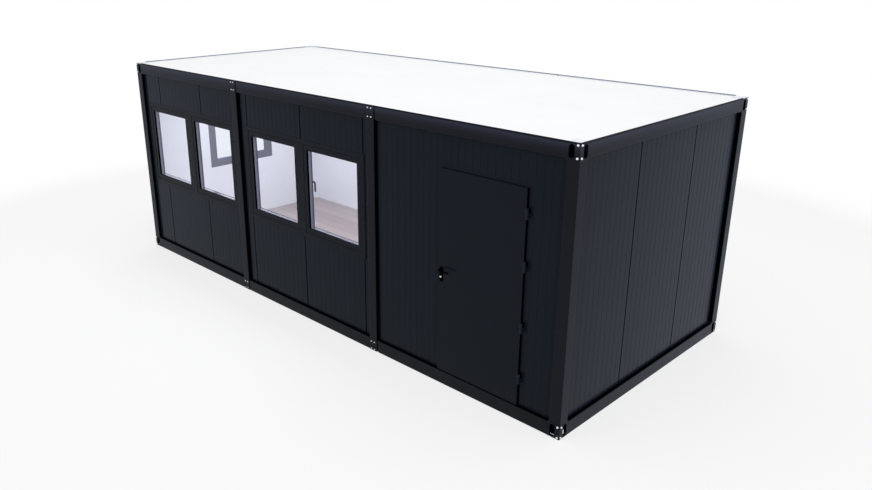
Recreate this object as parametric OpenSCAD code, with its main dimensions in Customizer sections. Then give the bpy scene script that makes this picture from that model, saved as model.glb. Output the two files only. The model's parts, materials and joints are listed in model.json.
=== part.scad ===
// Portable site cabin: a bolted steel frame with ribbed sandwich walls, five windows and one door.
// Origin: centre of the footprint on the ground. X runs along the cabin, the front faces -Y, Z is up.
// Places along a wall (u) are measured from the right-hand corner on the long sides and from the
// front corner on the short sides; depths (v) are measured inwards from the face of the frame.

/* [Cabin] */
// Length over the frame
cabin_l = 7000; // [6000:50:9000]
// Width over the frame
cabin_w = 3000; // [2400:50:3600]
// Height over the frame
cabin_h = 2600; // [2400:10:3000]

/* [Frame] */
// Height of the base rails and the roof rails
rail_h = 134; // [128:1:145]
// Depth of the rails and the middle posts
rail_d = 95; // [85:1:140]
// Thickness of the folded frame steel
steel_t = 4; // [3:0.5:6]
// Inner radius of the folds in the frame steel
fold_r = 3; // [1:0.5:5]
// Return lip on the inner edge of the rails
rail_lip = 22; // [12:1:30]
// Height of the rim that the roof rails raise above the roof sheet
roof_rim = 10; // [4:1:20]
// Width of a corner post on both of its faces
corner_post = 115; // [100:1:125]
// Width of a middle post
middle_post = 110; // [90:1:130]
// Distance from the right corner to the seam beside the first middle post
bay_right = 2297; // [2200:1:2500]
// Length by which the left bay is longer than the middle bay
bay_extra = 23; // [0:1:40]
// Width of the open seam beside a middle post
seam_w = 20; // [8:1:30]
// Depth of that seam in the rails
seam_deep = 40; // [20:1:60]

/* [Corner castings] */
// Width of a casting on both of its outer faces
casting_w = 130; // [128:1:160]
// Height of a casting
casting_h = 145; // [145:1:160]
// Radius of a casting's outer edges
casting_r = 4; // [2:0.5:8]
// Thickness of a casting's walls
casting_t = 9; // [6:0.5:14]
// Width of the lifting slot
slot_w = 56; // [40:1:60]
// Height of the lifting slot
slot_h = 116; // [90:1:120]
// Distance from the corner edge to the middle of the lifting slot
slot_at = 78; // [65:1:90]

/* [Walls] */
// Recess of the wall panels behind the frame face
recess = 35; // [20:1:45]
// Thickness of the wall panels
wall_t = 60; // [40:1:80]
// Width of one wall panel
panel_w = 1000; // [900:10:1100]
// Distance from the right corner to the first joint on the long sides
first_joint = 495; // [470:5:520]
// Number of ribs in one panel
panel_ribs = 12; // [6:1:16]
// Width of the groove between two ribs
rib_w = 10; // [6:1:20]
// Depth of the groove between two ribs
rib_deep = 1; // [1:0.5:4]
// Width of the groove at a panel joint
joint_w = 16; // [8:1:24]
// Depth of the groove at a panel joint
joint_deep = 12; // [6:1:20]

/* [Floor and roof] */
// Height of the floor's surface above the ground
floor_top = 112; // [95:1:120]
// Thickness of the floor boards
floor_t = 22; // [18:1:28]
// Width of a floor joist
joist_w = 50; // [40:1:70]
// Number of floor joists
joist_count = 9; // [5:1:13]
// Thickness of the ceiling panels
ceiling_t = 25; // [18:1:40]
// Thickness of the roof sheet
roof_t = 3; // [2:0.5:6]

/* [Windows] */
// Height of the window casing's lower edge above the ground
window_z = 989; // [900:1:1050]
// Height of the wall above the window casings
window_head = 373; // [300:1:450]
// Width of the casing's face
casing_band = 54; // [40:1:70]
// Width of the sash's face
sash_band = 61; // [50:1:65]
// Distance from the first middle post to the middle pair of windows
middle_pair_gap = 80; // [60:1:120]
// Distance from the middle pair of windows to the next seam
middle_pair_side = 100; // [80:1:220]
// Distance from the second middle post to the left pair of windows
left_pair_gap = 26; // [4:1:60]
// Width of the window in the left end wall
end_window_w = 1095; // [1000:1:1200]

/* [Door] */
// Width of the door leaf
leaf_w = 965; // [860:5:980]
// Height of the wall above the door frame
door_head = 285; // [200:1:350]
// Thickness of the door leaf
leaf_t = 40; // [35:1:50]
// Distance from the right corner to the middle of the doorway
door_at = 957; // [940:1:980]
// Distance of the leaf's outer face behind the frame face
leaf_back = 10; // [4:1:14]
// Clearance round the leaf
leaf_gap = 5; // [5:0.5:8]
// Distance of the hinge pins from the leaf's edge
hinge_off = 17; // [16:1:20]
// Thickness of the door frame's sides
jamb_t = 25; // [20:1:40]
// Height of the lever above the leaf's lower edge
lever_up = 1052; // [950:1:1100]
// Distance from the leaf's lower edge to the middle of the lowest hinge
hinge_low = 272; // [180:1:300]
// Distance from the middle of the highest hinge to the leaf's upper edge
hinge_high = 211; // [180:1:300]

/* [Hidden] */
$fn = 48;

// Colours, as near black-grey paint, pale sheet and bright zinc
frame_col = [0.17, 0.18, 0.20];
panel_col = [0.14, 0.16, 0.19];
window_col = [0.15, 0.16, 0.18];
glass_col = [0.80, 0.86, 0.92, 0.4];
white_col = [0.95, 0.95, 0.96];
floor_col = [0.70, 0.62, 0.57];
black_col = [0.05, 0.05, 0.06];
zinc_col = [0.85, 0.86, 0.88];

// Sides of the cabin
front = 0;
back = 1;
left = 2;
right = 3;

// Heights and places that the pieces share
wall_z0 = rail_h;
wall_z1 = cabin_h - rail_h;
roof_casting_z = cabin_h - casting_h;
roof_z = cabin_h - roof_rim - roof_t;
ceiling_z = wall_z1 - ceiling_t;
end_joint = panel_w;
wall_back = recess + wall_t;
bay_middle = (cabin_l - bay_right - bay_extra) / 2;
post_u = [bay_right, bay_right + bay_middle];
fold_out = fold_r + steel_t;
pitch = panel_w / panel_ribs;
fit = 0.3;

// Windows: the middle pair fills its bay up to the gaps beside it, and the left pair has its size
pair_w = (bay_middle - middle_post - middle_pair_gap - middle_pair_side) / 2;
window_w = [pair_w, pair_w, pair_w, pair_w, end_window_w];
window_h = wall_z1 - window_head - window_z;

// Middle of each casing, from the right corner or from the front corner
pair_middle_u = post_u[0] + middle_post + middle_pair_gap;
pair_left_u = post_u[1] + middle_post + left_pair_gap;
window_u = [
    pair_left_u + pair_w * 3 / 2,
    pair_left_u + pair_w / 2,
    pair_middle_u + pair_w * 3 / 2,
    pair_middle_u + pair_w / 2,
    cabin_w / 2
];
window_side = [front, front, front, front, left];
window_top = window_z + window_h;
pane_back = 12;
pane_t = 24;
pane_edge = 12;
sash_front = 1;
sash_t = 54;
casing_out = 3;
casing_slope = 5;
bead = 8;
bead_t = 10;

// Door
sill_t = 4;
leaf_z0 = rail_h + sill_t + leaf_gap;
leaf_h = wall_z1 - door_head - jamb_t - leaf_gap - leaf_z0;
leaf_u0 = door_at - leaf_w / 2;
leaf_u1 = door_at + leaf_w / 2;
frame_u0 = leaf_u0 - leaf_gap - jamb_t;
frame_u1 = leaf_u1 + leaf_gap + jamb_t;
frame_top = leaf_z0 + leaf_h + leaf_gap + jamb_t;
frame_proud = 2;
stop_w = 15;
stop_v = leaf_back + leaf_t + leaf_gap;
hinge_up = [for (s = [0, 0.322, 0.692, 1]) hinge_low + s * (leaf_h - hinge_low - hinge_high)];
hinge_h = 92;
hinge_r = 11;
pin_r = 4;
pin_play = 0.05;
hinge_t = 3;
hinge_plate = 40;
knuckle_gap = 1;
pin_u = leaf_u0 - hinge_off;
pin_v = leaf_back - hinge_r;
plate_w = 42;
plate_h = 148;
plate_t = 7;
handle_u = leaf_u1 - 37;
lever_z = leaf_z0 + lever_up;
cylinder_z = lever_z - 78;
lever_l = 125;
lever_r = 9;
elbow_r = 14;
neck_l = 45;
spindle_r = 8;
spindle_gap = 1;
cylinder_r = 9;

// Puts (u, v, z) on one side of the cabin: u along the wall, v inwards from the frame face
module on_side(side) {
    if (side == front) translate([cabin_l / 2, -cabin_w / 2, 0]) mirror([1, 0, 0]) children();
    if (side == back) translate([cabin_l / 2, cabin_w / 2, 0]) rotate(180) children();
    if (side == left) translate([-cabin_l / 2, -cabin_w / 2, 0]) mirror([1, 0, 0]) rotate(90) children();
    if (side == right) translate([cabin_l / 2, -cabin_w / 2, 0]) rotate(90) children();
}

// Box from one corner to the opposite one
module block(low, high) {
    translate(low) cube(high - low);
}

// Flat shape in (v, z) drawn along u from u0 to u1
module run(u0, u1) {
    translate([u0, 0, 0]) rotate([90, 0, 90]) linear_extrude(u1 - u0) children();
}

// Flat shape in (u, v) drawn upwards from z0 to z1
module rise(z0, z1) {
    translate([0, 0, z0]) linear_extrude(z1 - z0) children();
}

// Flat rectangle with round corners
module soft_square(low, high, r) {
    translate([low[0] + r, low[1]]) square([high[0] - low[0] - 2 * r, high[1] - low[1]]);
    translate([low[0], low[1] + r]) square([high[0] - low[0], high[1] - low[1] - 2 * r]);
    for (x = [low[0] + r, high[0] - r], y = [low[1] + r, high[1] - r]) translate([x, y]) circle(r);
}

// Folded open section from z0 to z1: a web with two flanges and return lips
module rail_section(z0, z1) {
    difference() {
        soft_square([0, z0], [rail_d, z1], fold_out);
        soft_square([steel_t, z0 + steel_t], [rail_d - steel_t, z1 - steel_t], fold_r);
        translate([rail_d - fold_out, z0 + rail_lip]) square([2 * fold_out, z1 - z0 - 2 * rail_lip]);
    }
}

// Roof rail: the same section under the roof sheet, with its web raised as a rim round the sheet
module roof_section() {
    rail_section(wall_z1, roof_z);
    translate([0, roof_z - fold_out]) square([steel_t, fold_out + roof_t + roof_rim]);
}

// Lengths of rail between the castings, the seams and the middle posts
function rail_runs() = [
    [casting_w, post_u[0] - seam_w],
    [post_u[0] + middle_post, post_u[1] - seam_w],
    [post_u[1] + middle_post, cabin_l - casting_w]
];

module long_rail(side) {
    color(frame_col) on_side(side)
        for (r = rail_runs()) run(r[0], r[1]) children();
}

module short_rail(side) {
    color(frame_col) on_side(side) run(casting_w, cabin_w - casting_w) children();
}

// Upright slot with round ends, cut through a wall that faces v
module slot(u, z) {
    straight = slot_h - slot_w;
    translate([u, 0, z]) rotate([90, 0, 0]) {
        translate([0, straight / 2, 0]) cylinder(d = slot_w, h = 3 * casting_t, center = true);
        translate([0, -straight / 2, 0]) cylinder(d = slot_w, h = 3 * casting_t, center = true);
        cube([slot_w, straight, 3 * casting_t], center = true);
    }
}

// Block with round edges from one corner to the opposite one
module soft_block(low, high, r) {
    intersection() {
        rise(low[2], high[2]) soft_square([low[0], low[1]], [high[0], high[1]], r);
        run(low[0], high[0]) soft_square([low[1], low[2]], [high[1], high[2]], r);
        translate([0, high[1], 0]) rotate([90, 0, 0]) linear_extrude(high[1] - low[1])
            soft_square([low[0], low[2]], [high[0], high[2]], r);
    }
}

// Hollow corner casting with a lifting slot in each of its two outer faces
module casting(side, z0) {
    color(frame_col) on_side(side) difference() {
        soft_block([0, 0, z0], [casting_w, casting_w, z0 + casting_h], casting_r);
        block([casting_t, casting_t, z0 + casting_t],
              [casting_w - casting_t, casting_w - casting_t, z0 + casting_h - casting_t]);
        slot(slot_at, z0 + casting_h / 2);
        rotate(90) mirror([0, 1, 0]) slot(slot_at, z0 + casting_h / 2);
    }
}

// The left-hand castings are those of the right end, seen in a mirror
module corner(at_left) {
    if (at_left) mirror([1, 0, 0]) children();
    if (!at_left) children();
}

// Flat outline of a hollow post with folded corners, from u0 to u1 along the wall
module post_section(u0, u1, depth) {
    difference() {
        soft_square([u0, 0], [u1, depth], fold_out);
        soft_square([u0 + steel_t, steel_t], [u1 - steel_t, depth - steel_t], fold_r);
    }
}

// Square hollow corner post between two castings
module post(side) {
    color(frame_col) on_side(side)
        rise(casting_h, roof_casting_z) post_section(0, corner_post, corner_post);
}

// Hollow middle post from the ground to the roof's rim, with a spacer behind each open seam
module middle_post(u) {
    rise(0, roof_z) post_section(u, u + middle_post, rail_d);
    block([u, 0, roof_z], [u + middle_post, steel_t, cabin_h]);
    block([u - seam_w, seam_deep, 0], [u + steel_t / 2, rail_d - fold_out, rail_h]);
    block([u - seam_w, seam_deep, wall_z1], [u + steel_t / 2, rail_d - fold_out, roof_z]);
}

module middle_posts() {
    color(frame_col) for (side = [front, back]) on_side(side) for (u = post_u) middle_post(u);
}

module floor_joists() {
    space = (cabin_l - 2 * casting_w - joist_w) / (joist_count - 1);
    joist_top = floor_top - floor_t;
    color(frame_col) for (i = [0:joist_count - 1])
        translate([-cabin_l / 2 + casting_w + i * space, 0, 0])
            block([0, -cabin_w / 2 + rail_d, steel_t], [joist_w, cabin_w / 2 - rail_d, joist_top]);
}

// Flat plate inside the frame, with its corners cut out round the posts and the castings
module inside_plate(inset, z0, z1) {
    difference() {
        block([-cabin_l / 2 + inset, -cabin_w / 2 + inset, z0],
              [cabin_l / 2 - inset, cabin_w / 2 - inset, z1]);
        for (sx = [-1, 1], sy = [-1, 1])
            translate([sx * cabin_l / 2, sy * cabin_w / 2, (z0 + z1) / 2])
                cube([2 * casting_w, 2 * casting_w, 2 * (z1 - z0)], center = true);
    }
}

module floor_deck() {
    color(floor_col) inside_plate(rail_d, floor_top - floor_t, floor_top);
}

module ceiling_panel() {
    color(white_col) inside_plate(wall_back, ceiling_z, wall_z1);
}

module roof_sheet() {
    color(white_col) inside_plate(steel_t, roof_z, roof_z + roof_t);
}

// Outline of one wall panel from u0 to u1, with ribs, and a half groove at each end that is a joint
function panel_outline(u0, u1, start, joint0, joint1) = concat(
    joint0
        ? [[u0 + fit, recess + joint_deep], [u0 + joint_w / 2, recess + joint_deep],
           [u0 + joint_w / 2, recess]]
        : [[u0, recess]],
    [for (k = [ceil((u0 + joint_w - start) / pitch):1:floor((u1 - joint_w - start) / pitch)])
        let (m = start + k * pitch)
        for (p = [[-rib_w / 2, 0], [-rib_w / 2 + rib_deep, rib_deep],
                  [rib_w / 2 - rib_deep, rib_deep], [rib_w / 2, 0]])
            [m + p[0], recess + p[1]]],
    joint1
        ? [[u1 - joint_w / 2, recess], [u1 - joint_w / 2, recess + joint_deep],
           [u1 - fit, recess + joint_deep]]
        : [[u1, recess]],
    [[joint1 ? u1 - fit : u1, wall_back], [joint0 ? u0 + fit : u0, wall_back]]
);

// Stretch of wall from u0 to u1, split into panels at the joints that lie in it
module panels(u0, u1, z0, z1, start) {
    joints = [for (k = [0:1:ceil((u1 - start) / panel_w)])
        let (j = start + k * panel_w) if (j > u0 + joint_w && j < u1 - joint_w) j];
    cuts = concat([u0], joints, [u1]);
    for (i = [0:len(cuts) - 2])
        translate([0, 0, z0]) linear_extrude(z1 - z0)
            polygon(panel_outline(cuts[i], cuts[i + 1], start, i > 0, i < len(cuts) - 2));
}

// Leaves out of a wall what would lie inside the corner castings at its two ends
module clear_of_castings(length) {
    gap = casting_w + fit;
    high = casting_h + fit;
    difference() {
        children();
        for (u = [0, length - gap], z = [0, cabin_h - high])
            block([u, 0, z], [u + gap, gap, z + high]);
    }
}

// Stretch of wall with a row of windows in it: panels below, above and beside the casings
module window_wall(u0, u1, hole0, hole1, start) {
    panels(u0, u1, wall_z0, window_z, start);
    panels(u0, u1, window_top, wall_z1, start);
    panels(u0, hole0, window_z, window_top, start);
    panels(hole1, u1, window_z, window_top, start);
}

module front_wall_left() {
    color(panel_col) on_side(front) clear_of_castings(cabin_l)
        window_wall(post_u[1] + middle_post, cabin_l - corner_post,
                    pair_left_u, pair_left_u + 2 * pair_w, first_joint);
}

module front_wall_middle() {
    color(panel_col) on_side(front)
        window_wall(post_u[0] + middle_post, post_u[1],
                    pair_middle_u, pair_middle_u + 2 * pair_w, first_joint);
}

// The walls round the door have no joint: the first one of their row lies beyond the middle post
module front_wall_right() {
    beyond = first_joint + 2 * panel_w;
    color(panel_col) on_side(front) clear_of_castings(cabin_l) {
        panels(corner_post, frame_u0, wall_z0, frame_top, beyond);
        panels(frame_u1, post_u[0], wall_z0, frame_top, beyond);
        panels(corner_post, post_u[0], frame_top, wall_z1, beyond);
    }
}

module back_wall() {
    color(panel_col) on_side(back) clear_of_castings(cabin_l) {
        panels(corner_post, post_u[0], wall_z0, wall_z1, first_joint);
        panels(post_u[0] + middle_post, post_u[1], wall_z0, wall_z1, first_joint);
        panels(post_u[1] + middle_post, cabin_l - corner_post, wall_z0, wall_z1, first_joint);
    }
}

module left_wall() {
    color(panel_col) on_side(left) clear_of_castings(cabin_w)
        window_wall(corner_post, cabin_w - corner_post,
                    window_u[4] - end_window_w / 2, window_u[4] + end_window_w / 2, end_joint);
}

module right_wall() {
    color(panel_col) on_side(right) clear_of_castings(cabin_w)
        panels(corner_post, cabin_w - corner_post, wall_z0, wall_z1, end_joint);
}

// Rectangular frame round an opening: outer size, face width, and depth from v0 to v1
module frame(w, h, band, v0, v1) {
    difference() {
        block([-w / 2, v0, 0], [w / 2, v1, h]);
        block([-w / 2 + band, v0 - 1, band], [w / 2 - band, v1 + 1, h - band]);
    }
}

// Opening w by h at depth v1 that is wider by more on every side at depth v0, over the height z
module flare(w, h, z, more, v0, v1) {
    step = more / (v1 - v0);
    a = w / 2;
    out = more + step;
    intersection() {
        rise(z - out, z + h + out)
            polygon([[-a - out, v0 - 1], [a + out, v0 - 1], [a, v1], [-a, v1]]);
        run(-a - out, a + out)
            polygon([[v0 - 1, z - out], [v0 - 1, z + h + out], [v1, z + h], [v1, z]]);
    }
}

// Place of a window: middle of its lower edge
module at_window(i) {
    on_side(window_side[i]) translate([window_u[i], 0, window_z]) children();
}

// Casing: a flat face round the sash, with a sloped inner edge
module window_casing(i) {
    v0 = recess - casing_out;
    color(window_col) at_window(i) difference() {
        translate([0, 0, fit])
            frame(window_w[i] - 2 * fit, window_h - 2 * fit, casing_band - fit, v0, wall_back);
        flare(window_w[i] - 2 * casing_band, window_h - 2 * casing_band, casing_band,
              casing_slope, v0, v0 + casing_slope);
    }
}

// Sash with a sloped bead in front of the pane and a rebate for the pane behind it
module window_sash(i) {
    w = window_w[i] - 2 * (casing_band + fit);
    h = window_h - 2 * (casing_band + fit);
    rebate = sash_band - pane_edge;
    at_window(i) translate([0, recess + sash_front, casing_band + fit]) difference() {
        frame(w, h, sash_band, 0, sash_t);
        flare(w - 2 * sash_band, h - 2 * sash_band, sash_band, bead, 0, bead_t);
        block([-w / 2 + rebate, pane_back, rebate], [w / 2 - rebate, sash_t + 1, h - rebate]);
    }
}

module window_sashes() {
    color(window_col) for (i = [0:4]) window_sash(i);
}

module window_panes() {
    edge = casing_band + fit + sash_band - pane_edge + fit;
    v0 = recess + sash_front + pane_back + fit;
    color(glass_col) for (i = [0:4]) at_window(i)
        block([-window_w[i] / 2 + edge, v0, edge],
              [window_w[i] / 2 - edge, v0 + pane_t, window_h - edge]);
}

// Door frame: two sides and a head with a stop behind the leaf, over a sill
module door_frame() {
    v0 = recess - frame_proud;
    in0 = frame_u0 + jamb_t;
    in1 = frame_u1 - jamb_t;
    top = frame_top - jamb_t;
    color(frame_col) on_side(front) {
        difference() {
            block([frame_u0, v0, rail_h], [frame_u1, wall_back, frame_top]);
            block([in0, v0 - 1, rail_h + sill_t], [in1, stop_v, top]);
            block([in0 + stop_w, v0 - 1, rail_h + sill_t], [in1 - stop_w, wall_back + 1, top - stop_w]);
        }
    }
}

// Fixed half of each hinge: knuckle with its pin, and a plate on the door frame
module door_hinge_posts() {
    web0 = 3;
    color(frame_col) on_side(front) for (up = hinge_up) translate([pin_u, pin_v, leaf_z0 + up]) {
        translate([0, 0, -hinge_h / 2]) cylinder(r = hinge_r, h = hinge_h / 2 - knuckle_gap / 2);
        translate([0, 0, -hinge_h / 2]) cylinder(r = pin_r, h = hinge_h - hinge_t);
        block([-web0 - hinge_t, 0, -hinge_h / 2],
              [-web0, recess - frame_proud - pin_v, -knuckle_gap / 2]);
        block([hinge_off - leaf_gap - jamb_t + 2, recess - frame_proud - pin_v - hinge_t, -hinge_h / 2],
              [-web0, recess - frame_proud - pin_v, -knuckle_gap / 2]);
    }
}

// Swinging half of each hinge: knuckle round the pin, and a plate on the leaf
module door_hinge_leaves() {
    color(frame_col) on_side(front) for (up = hinge_up) translate([pin_u, pin_v, leaf_z0 + up])
        difference() {
            union() {
                translate([0, 0, knuckle_gap / 2])
                    cylinder(r = hinge_r, h = hinge_h / 2 - knuckle_gap / 2);
                block([0, hinge_r - hinge_t, knuckle_gap / 2], [hinge_plate, hinge_r, hinge_h / 2]);
            }
            cylinder(r = pin_r + pin_play, h = hinge_h - hinge_t - hinge_h / 2 + 1);
        }
}

module door_leaf() {
    color(panel_col) on_side(front) difference() {
        block([leaf_u0, leaf_back, leaf_z0], [leaf_u1, leaf_back + leaf_t, leaf_z0 + leaf_h]);
        translate([handle_u, leaf_back - 1, lever_z]) rotate([-90, 0, 0])
            cylinder(r = spindle_r + spindle_gap, h = leaf_t + 2);
        translate([handle_u, leaf_back - 1, cylinder_z]) rotate([-90, 0, 0])
            cylinder(r = cylinder_r, h = leaf_t + 2);
    }
}

// Long plate with round ends, the upper one round the lever and the lower one below the key hole
module handle_plate(v0) {
    low = lever_z - plate_h + plate_w;
    difference() {
        union() {
            for (z = [low, lever_z]) translate([handle_u, v0, z]) rotate([-90, 0, 0])
                cylinder(d = plate_w, h = plate_t);
            block([handle_u - plate_w / 2, v0, low], [handle_u + plate_w / 2, v0 + plate_t, lever_z]);
        }
        translate([handle_u, v0 - 1, lever_z]) rotate([-90, 0, 0])
            cylinder(r = spindle_r + spindle_gap, h = plate_t + 2);
        translate([handle_u, v0 - 1, cylinder_z]) rotate([-90, 0, 0])
            cylinder(r = cylinder_r, h = plate_t + 2);
    }
}

module door_plates() {
    color(black_col) on_side(front) {
        handle_plate(leaf_back - plate_t);
        handle_plate(leaf_back + leaf_t);
    }
}

module door_cylinder() {
    color(zinc_col) on_side(front) translate([handle_u, leaf_back - plate_t - 8, cylinder_z])
        rotate([-90, 0, 0]) cylinder(r = cylinder_r - fit, h = leaf_t + 2 * plate_t + 16);
}

// Lever on its half of the spindle: neck along z, a round elbow and a grip with a round end
module lever(reach) {
    cylinder(r = spindle_r, h = reach - elbow_r);
    translate([-elbow_r, 0, reach - elbow_r]) rotate([90, 0, 0]) rotate_extrude(angle = 90)
        translate([elbow_r, 0]) circle(spindle_r);
    translate([-elbow_r, 0, reach]) rotate([0, -90, 0]) {
        cylinder(r1 = spindle_r, r2 = lever_r, h = elbow_r);
        translate([0, 0, elbow_r]) cylinder(r = lever_r, h = lever_l - 2 * elbow_r);
        translate([0, 0, lever_l - elbow_r]) sphere(r = lever_r);
    }
}

// Outer and inner lever, which meet in the middle of the leaf
module door_levers() {
    reach = leaf_t / 2 + plate_t + neck_l;
    color(black_col) on_side(front) translate([handle_u, leaf_back + leaf_t / 2, lever_z]) {
        rotate([90, 0, 0]) lever(reach);
        mirror([0, 1, 0]) rotate([90, 0, 0]) lever(reach);
    }
}

corner(true) casting(right, 0);  // base_casting_front_left
casting(right, 0);  // base_casting_front_right
corner(true) casting(back, 0);  // base_casting_back_left
casting(back, 0);  // base_casting_back_right
corner(true) casting(right, roof_casting_z);  // roof_casting_front_left
casting(right, roof_casting_z);  // roof_casting_front_right
corner(true) casting(back, roof_casting_z);  // roof_casting_back_left
casting(back, roof_casting_z);  // roof_casting_back_right
corner(true) post(right);  // corner_post_front_left
post(right);  // corner_post_front_right
corner(true) post(back);  // corner_post_back_left
post(back);  // corner_post_back_right
middle_posts();
long_rail(front) rail_section(0, rail_h);  // base_rail_front
long_rail(back) rail_section(0, rail_h);  // base_rail_back
short_rail(left) rail_section(0, rail_h);  // base_rail_left
short_rail(right) rail_section(0, rail_h);  // base_rail_right
long_rail(front) roof_section();  // roof_rail_front
long_rail(back) roof_section();  // roof_rail_back
short_rail(left) roof_section();  // roof_rail_left
short_rail(right) roof_section();  // roof_rail_right
floor_joists();
floor_deck();
ceiling_panel();
roof_sheet();
front_wall_left();
front_wall_middle();
front_wall_right();
back_wall();
left_wall();
right_wall();
window_casing(0);  // window_casing_1
window_casing(1);  // window_casing_2
window_casing(2);  // window_casing_3
window_casing(3);  // window_casing_4
window_casing(4);  // window_casing_5
window_sashes();
window_panes();
door_frame();
door_hinge_posts();
door_leaf();
door_hinge_leaves();
door_plates();
door_cylinder();
door_levers();
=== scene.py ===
"""Looks of the portable site cabin: materials, small fittings, light and camera.

Row frame in metres: X along the cabin, the front faces -Y, Z is up, ground at 0.
Along a wall, u runs from the end nearest the door on the long sides and from the front corner on
the short ones, v is the depth behind the face of the frame, and z the height.
"""

import json
import math

import bmesh
import bpy
from mathutils import Matrix, Vector


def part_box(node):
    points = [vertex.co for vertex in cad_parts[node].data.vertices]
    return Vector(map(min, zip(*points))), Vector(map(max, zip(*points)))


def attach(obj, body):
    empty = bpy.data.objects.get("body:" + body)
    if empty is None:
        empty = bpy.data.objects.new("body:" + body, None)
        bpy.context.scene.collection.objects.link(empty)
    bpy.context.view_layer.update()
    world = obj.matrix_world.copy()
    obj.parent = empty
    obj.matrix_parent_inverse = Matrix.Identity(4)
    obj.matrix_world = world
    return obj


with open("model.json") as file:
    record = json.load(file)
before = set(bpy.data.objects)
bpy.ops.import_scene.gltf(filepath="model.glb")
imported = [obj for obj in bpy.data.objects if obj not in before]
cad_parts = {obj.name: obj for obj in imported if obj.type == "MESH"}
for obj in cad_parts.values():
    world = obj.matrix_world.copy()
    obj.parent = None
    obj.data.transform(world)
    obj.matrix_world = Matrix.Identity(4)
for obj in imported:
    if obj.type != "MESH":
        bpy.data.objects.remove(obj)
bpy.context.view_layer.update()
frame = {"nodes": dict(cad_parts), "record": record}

# Sizes of the frame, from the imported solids
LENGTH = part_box("roof_casting_front_right")[1].x * 2
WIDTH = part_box("roof_casting_front_right")[0].y * -2
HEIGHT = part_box("roof_casting_front_right")[1].z
RAIL_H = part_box("base_rail_front")[1].z
POST_W = LENGTH / 2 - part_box("corner_post_front_right")[0].x
CASTING_W = LENGTH / 2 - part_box("roof_casting_front_right")[0].x
CASTING_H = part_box("base_casting_front_right")[1].z
POST_U = tuple(LENGTH / 2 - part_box(wall)[0].x for wall in ("front_wall_right", "front_wall_middle"))
MIDDLE_POST_W = LENGTH / 2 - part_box("front_wall_middle")[1].x - POST_U[0]

# Depths of the wall panels' outer and inner faces, the heights that they show between, and the deck
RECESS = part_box("back_wall")[1].y * -1 + WIDTH / 2
WALL_BACK = WIDTH / 2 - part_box("back_wall")[0].y
WALL_Z = (RAIL_H, HEIGHT - RAIL_H)
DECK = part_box("floor_deck")[1].z

# Floor boards: width, length, and the shift from row to row as a share of the length
PLANK_W = 0.19
PLANK_L = 1.29
ROW_SHIFT = 0.37

FRONT, BACK, LEFT, RIGHT = "front", "back", "left", "right"
SIDES = (FRONT, BACK, LEFT, RIGHT)
LONG_SIDES = (FRONT, BACK)
SIDE_LENGTH = {FRONT: LENGTH, BACK: LENGTH, LEFT: WIDTH, RIGHT: WIDTH}
UP = Vector((0, 0, 1))


def at(side, u, v, z):
    """Point at (u, v, z) on one side, in the row frame."""
    if side == FRONT:
        return Vector((LENGTH / 2 - u, -WIDTH / 2 + v, z))
    if side == BACK:
        return Vector((LENGTH / 2 - u, WIDTH / 2 - v, z))
    if side == LEFT:
        return Vector((-LENGTH / 2 + v, -WIDTH / 2 + u, z))
    return Vector((LENGTH / 2 - v, -WIDTH / 2 + u, z))


def outward(side):
    """Unit vector that points out of one side."""
    return at(side, 0, -1, 0) - at(side, 0, 0, 0)


# Materials


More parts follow.
